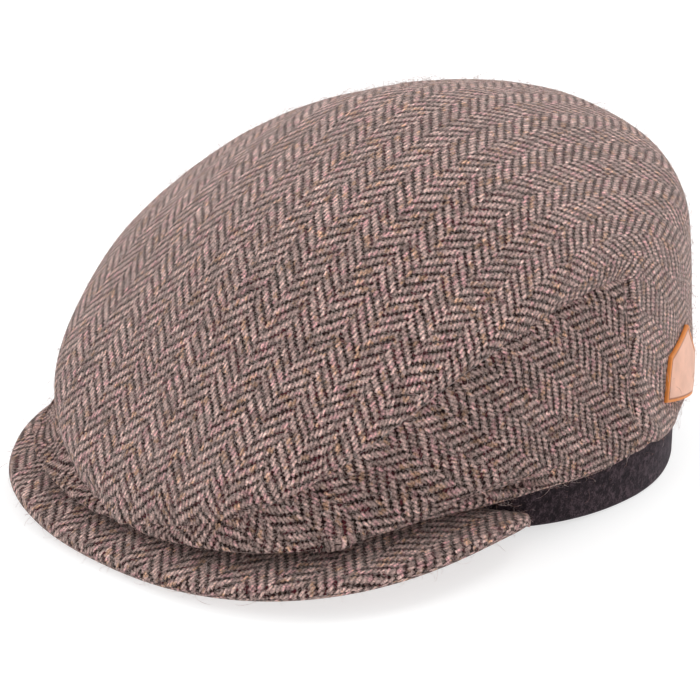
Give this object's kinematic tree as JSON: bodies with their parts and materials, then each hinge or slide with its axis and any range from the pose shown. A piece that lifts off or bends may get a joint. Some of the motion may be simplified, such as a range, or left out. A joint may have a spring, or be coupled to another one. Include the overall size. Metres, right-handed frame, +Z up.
{
  "type": "flat cap",
  "caption": "Herringbone tweed flat cap with side panels, stiff peak, soft dark wool band and a bare leather tag.",
  "frame": {"origin": "on the floor under the middle of the cap's overall box", "axes": "+Z up, the peak points to -Y, the wearer's left is +X"},
  "size_m": [0.19, 0.2501, 0.1245],
  "materials": {
    "top_tweed": "coarse herringbone wool",
    "left_tweed": "coarse herringbone wool",
    "right_tweed": "coarse herringbone wool",
    "peak_tweed": "coarse herringbone wool over a stiff peak",
    "black_wool": "dark felted wool",
    "tan_leather": "smooth, bare"
  },
  "bodies": {
    "root": {"top_panel": "top_tweed", "side_panel_left": "left_tweed", "side_panel_right": "right_tweed", "peak": "peak_tweed", "ear_band": "black_wool", "leather_tag": "tan_leather"}
  },
  "joints": []
}
